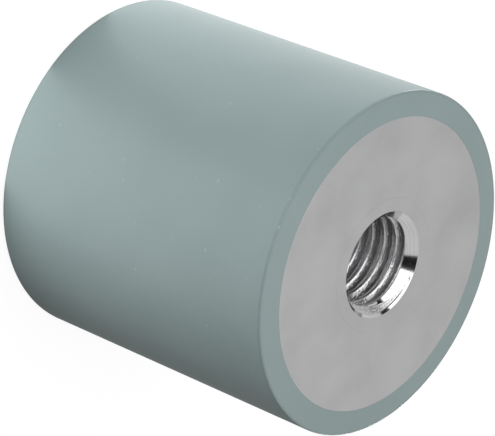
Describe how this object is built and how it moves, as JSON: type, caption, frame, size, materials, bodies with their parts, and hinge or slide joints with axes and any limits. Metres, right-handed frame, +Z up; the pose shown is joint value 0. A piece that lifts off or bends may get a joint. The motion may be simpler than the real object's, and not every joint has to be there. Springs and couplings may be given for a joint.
{
  "type": "rubber buffer",
  "caption": "Cylindrical rubber buffer with a flush steel disc in each end and a countersunk, threaded blind hole in its middle, as tall as it is wide.",
  "frame": {"origin": "centre of the bottom end face, on the buffer's axis", "axes": "+Z up the buffer's axis, from the bottom face to the top face; X and Y are free, as the shape is round"},
  "size_m": [0.04, 0.04, 0.04],
  "materials": {
    "rubber": "moulded grey-green elastomer, smooth satin",
    "plate_steel": "stamped steel disc, fine matt",
    "bush_steel": "turned and tapped steel, bright in the thread and countersink"
  },
  "bodies": {
    "root": {"rubber_body": "rubber", "top_plate": "plate_steel", "bottom_plate": "plate_steel", "top_threaded_bush": "bush_steel", "bottom_threaded_bush": "bush_steel"}
  },
  "joints": []
}
